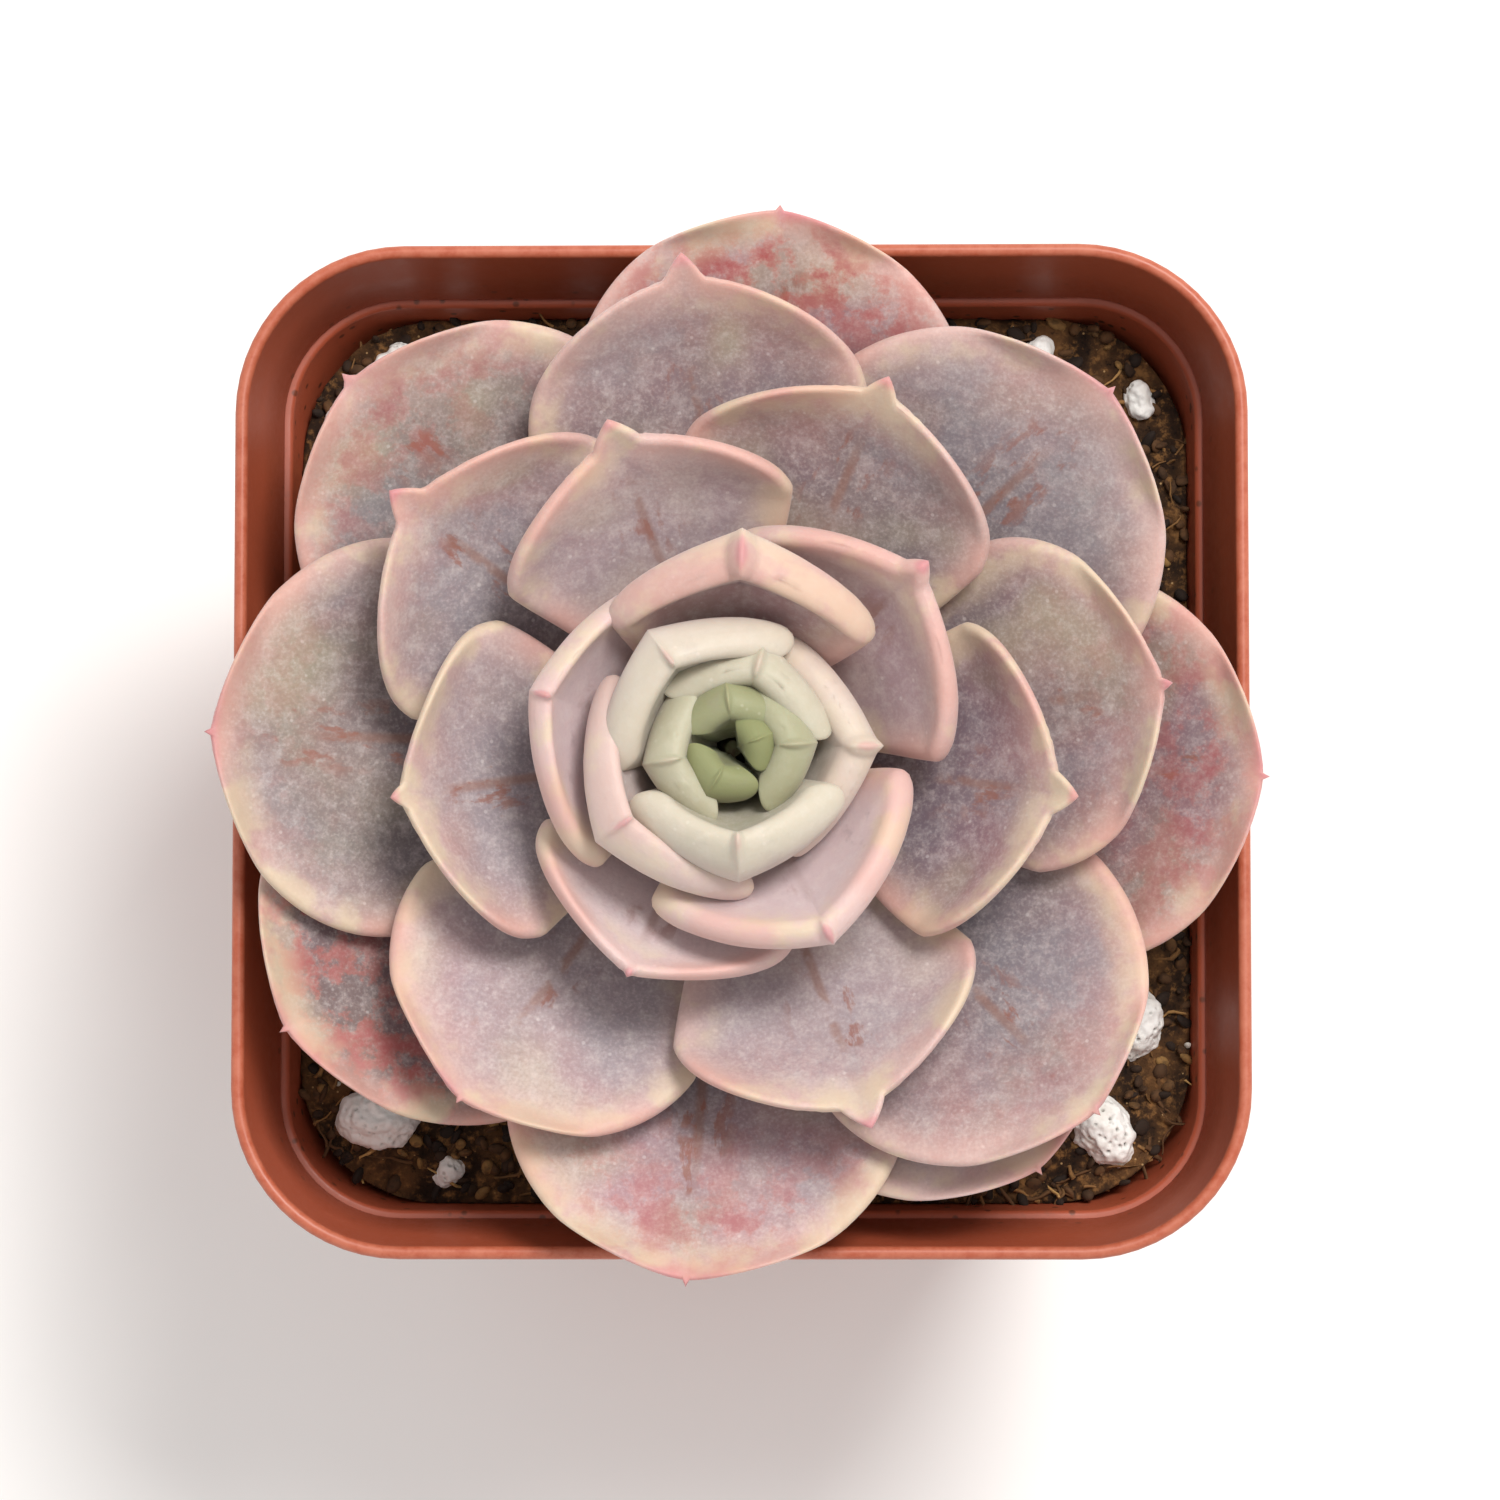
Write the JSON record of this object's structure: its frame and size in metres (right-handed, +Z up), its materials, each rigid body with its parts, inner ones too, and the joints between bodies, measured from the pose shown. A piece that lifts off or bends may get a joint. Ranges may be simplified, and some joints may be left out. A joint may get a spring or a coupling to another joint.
{
  "type": "potted succulent",
  "caption": "Rosette succulent with thick powdery leaves on a short stem, planted in soil in a small square plastic nursery pot with a collar.",
  "frame": {"origin": "middle of the pot's flat base", "axes": "+Z up from the base to the heart of the rosette, +X to the right and +Y to the back across the square pot"},
  "size_m": [0.0656, 0.0669, 0.0748],
  "materials": {
    "terracotta_plastic": "satin moulded plastic in a terracotta colour",
    "potting_soil": null,
    "stem_skin": null,
    "leaf_skin": null,
    "pumice": "rough white volcanic grit"
  },
  "bodies": {
    "root": {"pot": "terracotta_plastic", "soil": "potting_soil", "stem": "stem_skin", "leaf_01": "leaf_skin", "leaf_02": "leaf_skin", "leaf_03": "leaf_skin", "leaf_04": "leaf_skin", "leaf_05": "leaf_skin", "leaf_06": "leaf_skin", "leaf_07": "leaf_skin", "leaf_08": "leaf_skin", "leaf_09": "leaf_skin", "leaf_10": "leaf_skin", "leaf_11": "leaf_skin", "leaf_12": "leaf_skin", "leaf_13": "leaf_skin", "leaf_14": "leaf_skin", "leaf_15": "leaf_skin", "leaf_16": "leaf_skin", "leaf_17": "leaf_skin", "leaf_18": "leaf_skin", "leaf_19": "leaf_skin", "leaf_20": "leaf_skin", "leaf_21": "leaf_skin", "leaf_22": "leaf_skin", "leaf_23": "leaf_skin", "leaf_24": "leaf_skin", "leaf_25": "leaf_skin", "leaf_26": "leaf_skin", "leaf_27": "leaf_skin", "leaf_28": "leaf_skin", "leaf_29": "leaf_skin", "leaf_30": "leaf_skin", "leaf_31": "leaf_skin", "leaf_32": "leaf_skin", "leaf_33": "leaf_skin", "pumice_01": "pumice", "pumice_02": "pumice", "pumice_03": "pumice", "pumice_04": "pumice", "pumice_05": "pumice", "pumice_06": "pumice", "pumice_07": "pumice", "pumice_08": "pumice", "pumice_09": "pumice", "pumice_10": "pumice"}
  },
  "joints": []
}
